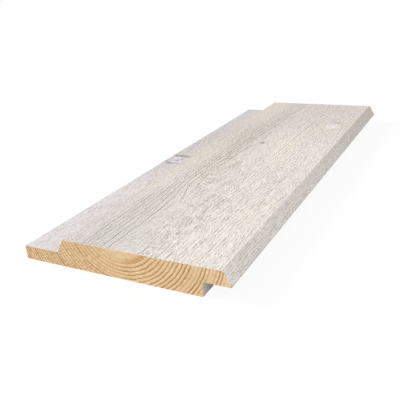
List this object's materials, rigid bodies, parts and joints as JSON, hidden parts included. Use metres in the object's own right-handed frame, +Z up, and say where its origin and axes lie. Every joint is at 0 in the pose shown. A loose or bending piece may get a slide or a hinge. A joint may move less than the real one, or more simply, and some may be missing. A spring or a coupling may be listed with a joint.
{
  "type": "cladding board",
  "caption": "Whitewashed softwood half-lap cladding board with a lip along each long edge and bevelled face edges, laid edge over edge to cover a wall.",
  "frame": {"origin": "middle of the overall width and length, on the back face that the board lies on", "axes": "+X across the board towards the upper lip, +Y along the board, +Z up out of the face"},
  "size_m": [0.145, 0.37, 0.019],
  "materials": {
    "whitewashed_wood": "brushed softwood under a thin matt whitewash, with bare sawn ends"
  },
  "bodies": {
    "root": {"cladding_board": "whitewashed_wood"}
  },
  "joints": []
}
